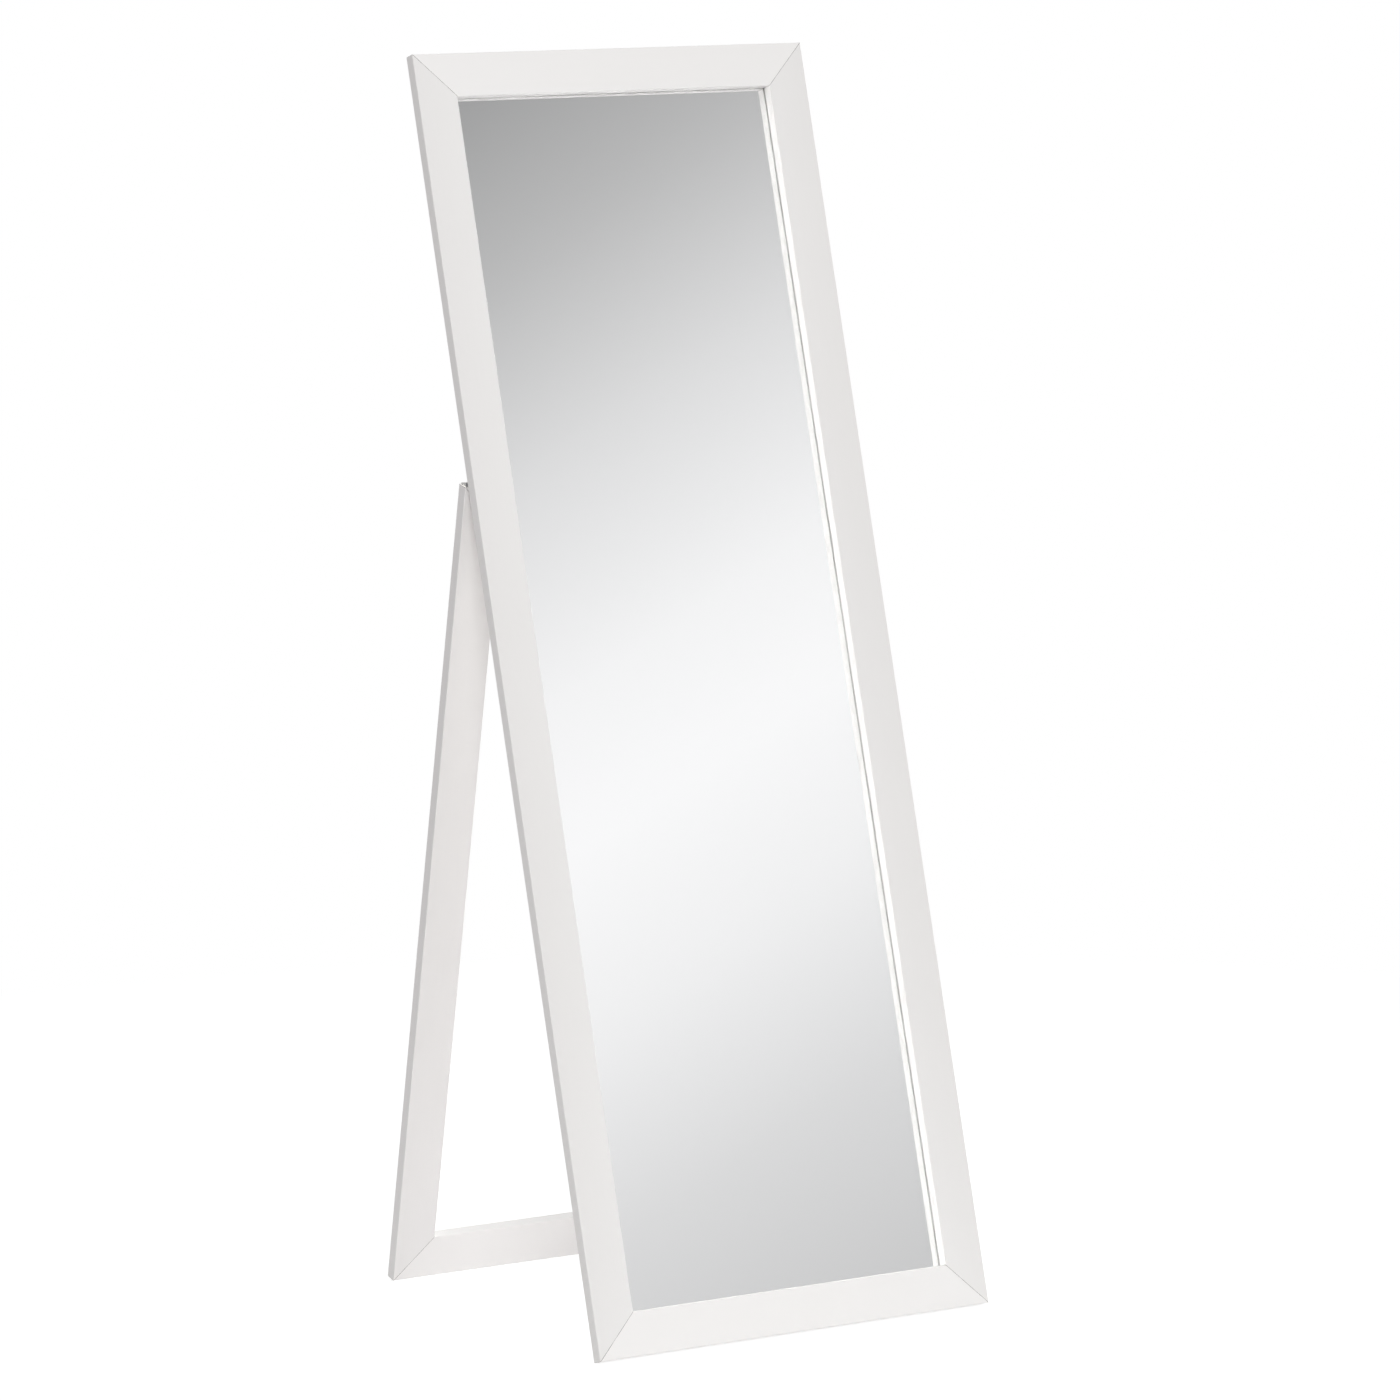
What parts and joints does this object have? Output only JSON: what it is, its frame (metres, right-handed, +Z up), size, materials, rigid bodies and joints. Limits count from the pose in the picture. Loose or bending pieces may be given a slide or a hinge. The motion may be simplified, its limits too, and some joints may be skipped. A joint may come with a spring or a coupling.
{
  "type": "free-standing floor mirror",
  "caption": "Full-length mirror in a white mitred frame that leans back on a hinged rear stand of the same moulding; the stand folds flat behind it.",
  "frame": {"origin": "centre of the footprint on the floor, with the stand open", "axes": "+Z up, -Y the way the mirror faces, +Y towards the stand, X along the hinge pins"},
  "size_m": [0.5, 0.5007, 1.404],
  "materials": {
    "white_moulding": "smooth satin white film on fibreboard moulding",
    "clear_glass": "clear float glass, polished",
    "silvering": "silver coat with grey protective paint behind",
    "grey_card": "plain uncoated card",
    "white_board": "hardboard with a smooth white-painted face",
    "hinge_steel": "dull zinc-plated pressed steel",
    "zinc_steel": "bright zinc plate"
  },
  "bodies": {
    "mirror_frame": {"frame_stile_left": "white_moulding", "frame_stile_right": "white_moulding", "frame_rail_top": "white_moulding", "frame_rail_bottom": "white_moulding", "frame_corner_nails": "zinc_steel", "mirror_glass": "clear_glass", "mirror_silvering": "silvering", "packing_card": "grey_card", "backing_board": "white_board", "backing_screws": "zinc_steel", "hinge_frame_leaf_left": "hinge_steel", "hinge_frame_leaf_right": "hinge_steel", "hinge_pin_left": "hinge_steel", "hinge_pin_right": "hinge_steel", "hinge_frame_screws": "zinc_steel"},
    "rear_stand": {"stand_leg_left": "white_moulding", "stand_leg_right": "white_moulding", "stand_rail_top": "white_moulding", "stand_rail_bottom": "white_moulding", "stand_corner_nails": "zinc_steel", "hinge_stand_leaf_left": "hinge_steel", "hinge_stand_leaf_right": "hinge_steel", "hinge_stand_screws": "zinc_steel"}
  },
  "joints": [
    {"name": "stand_fold", "type": "hinge", "parent": "mirror_frame", "child": "rear_stand", "pos_m": [0, 0.01891, 0.9354], "axis": [-1, 0, 0], "range_deg": [0, 28]}
  ]
}
